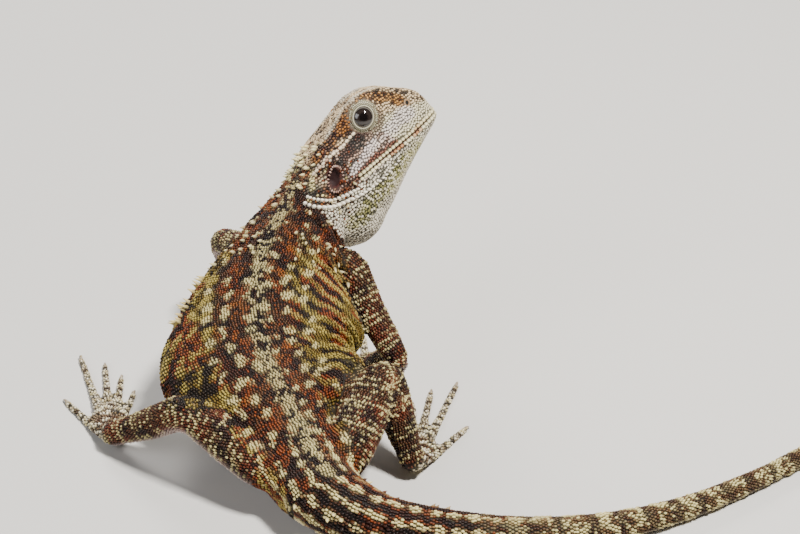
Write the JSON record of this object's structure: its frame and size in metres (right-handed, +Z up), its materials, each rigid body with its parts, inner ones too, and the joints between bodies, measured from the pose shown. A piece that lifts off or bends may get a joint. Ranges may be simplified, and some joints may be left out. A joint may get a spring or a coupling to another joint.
{
  "type": "bearded dragon lizard",
  "caption": "Still, life-size young bearded dragon: belly base and tail on the floor, chest raised on the forelegs, head turned back over the right shoulder.",
  "frame": {"origin": "on the floor under the middle of the animal's outer box", "axes": "+Z up, +Y the way the trunk heads, +X towards the animal's right and along the laid tail"},
  "size_m": [0.1678, 0.0978, 0.0545],
  "materials": {
    "scaly_skin": "dry, finely keeled scales, rust brown with dark blotches and cream spots",
    "pale_skin": "dry, smooth small scales, cream to lilac white",
    "eye": "wet, clear gloss over a dark iris",
    "claw": "satin horn"
  },
  "bodies": {
    "root": {"beard": "pale_skin", "belly": "scaly_skin", "chest": "scaly_skin", "eye_left": "eye", "eye_right": "eye", "foot_left": "scaly_skin", "foot_right": "scaly_skin", "forearm_left": "scaly_skin", "forearm_right": "scaly_skin", "hand_left": "scaly_skin", "hand_right": "scaly_skin", "head": "scaly_skin", "lower_jaw": "pale_skin", "neck": "scaly_skin", "pelvis": "scaly_skin", "shank_left": "scaly_skin", "shank_right": "scaly_skin", "tail_1": "scaly_skin", "tail_2": "scaly_skin", "tail_3": "scaly_skin", "tail_4": "scaly_skin", "tail_5": "scaly_skin", "thigh_left": "scaly_skin", "thigh_right": "scaly_skin", "upper_arm_left": "scaly_skin", "upper_arm_right": "scaly_skin"}
  },
  "joints": []
}
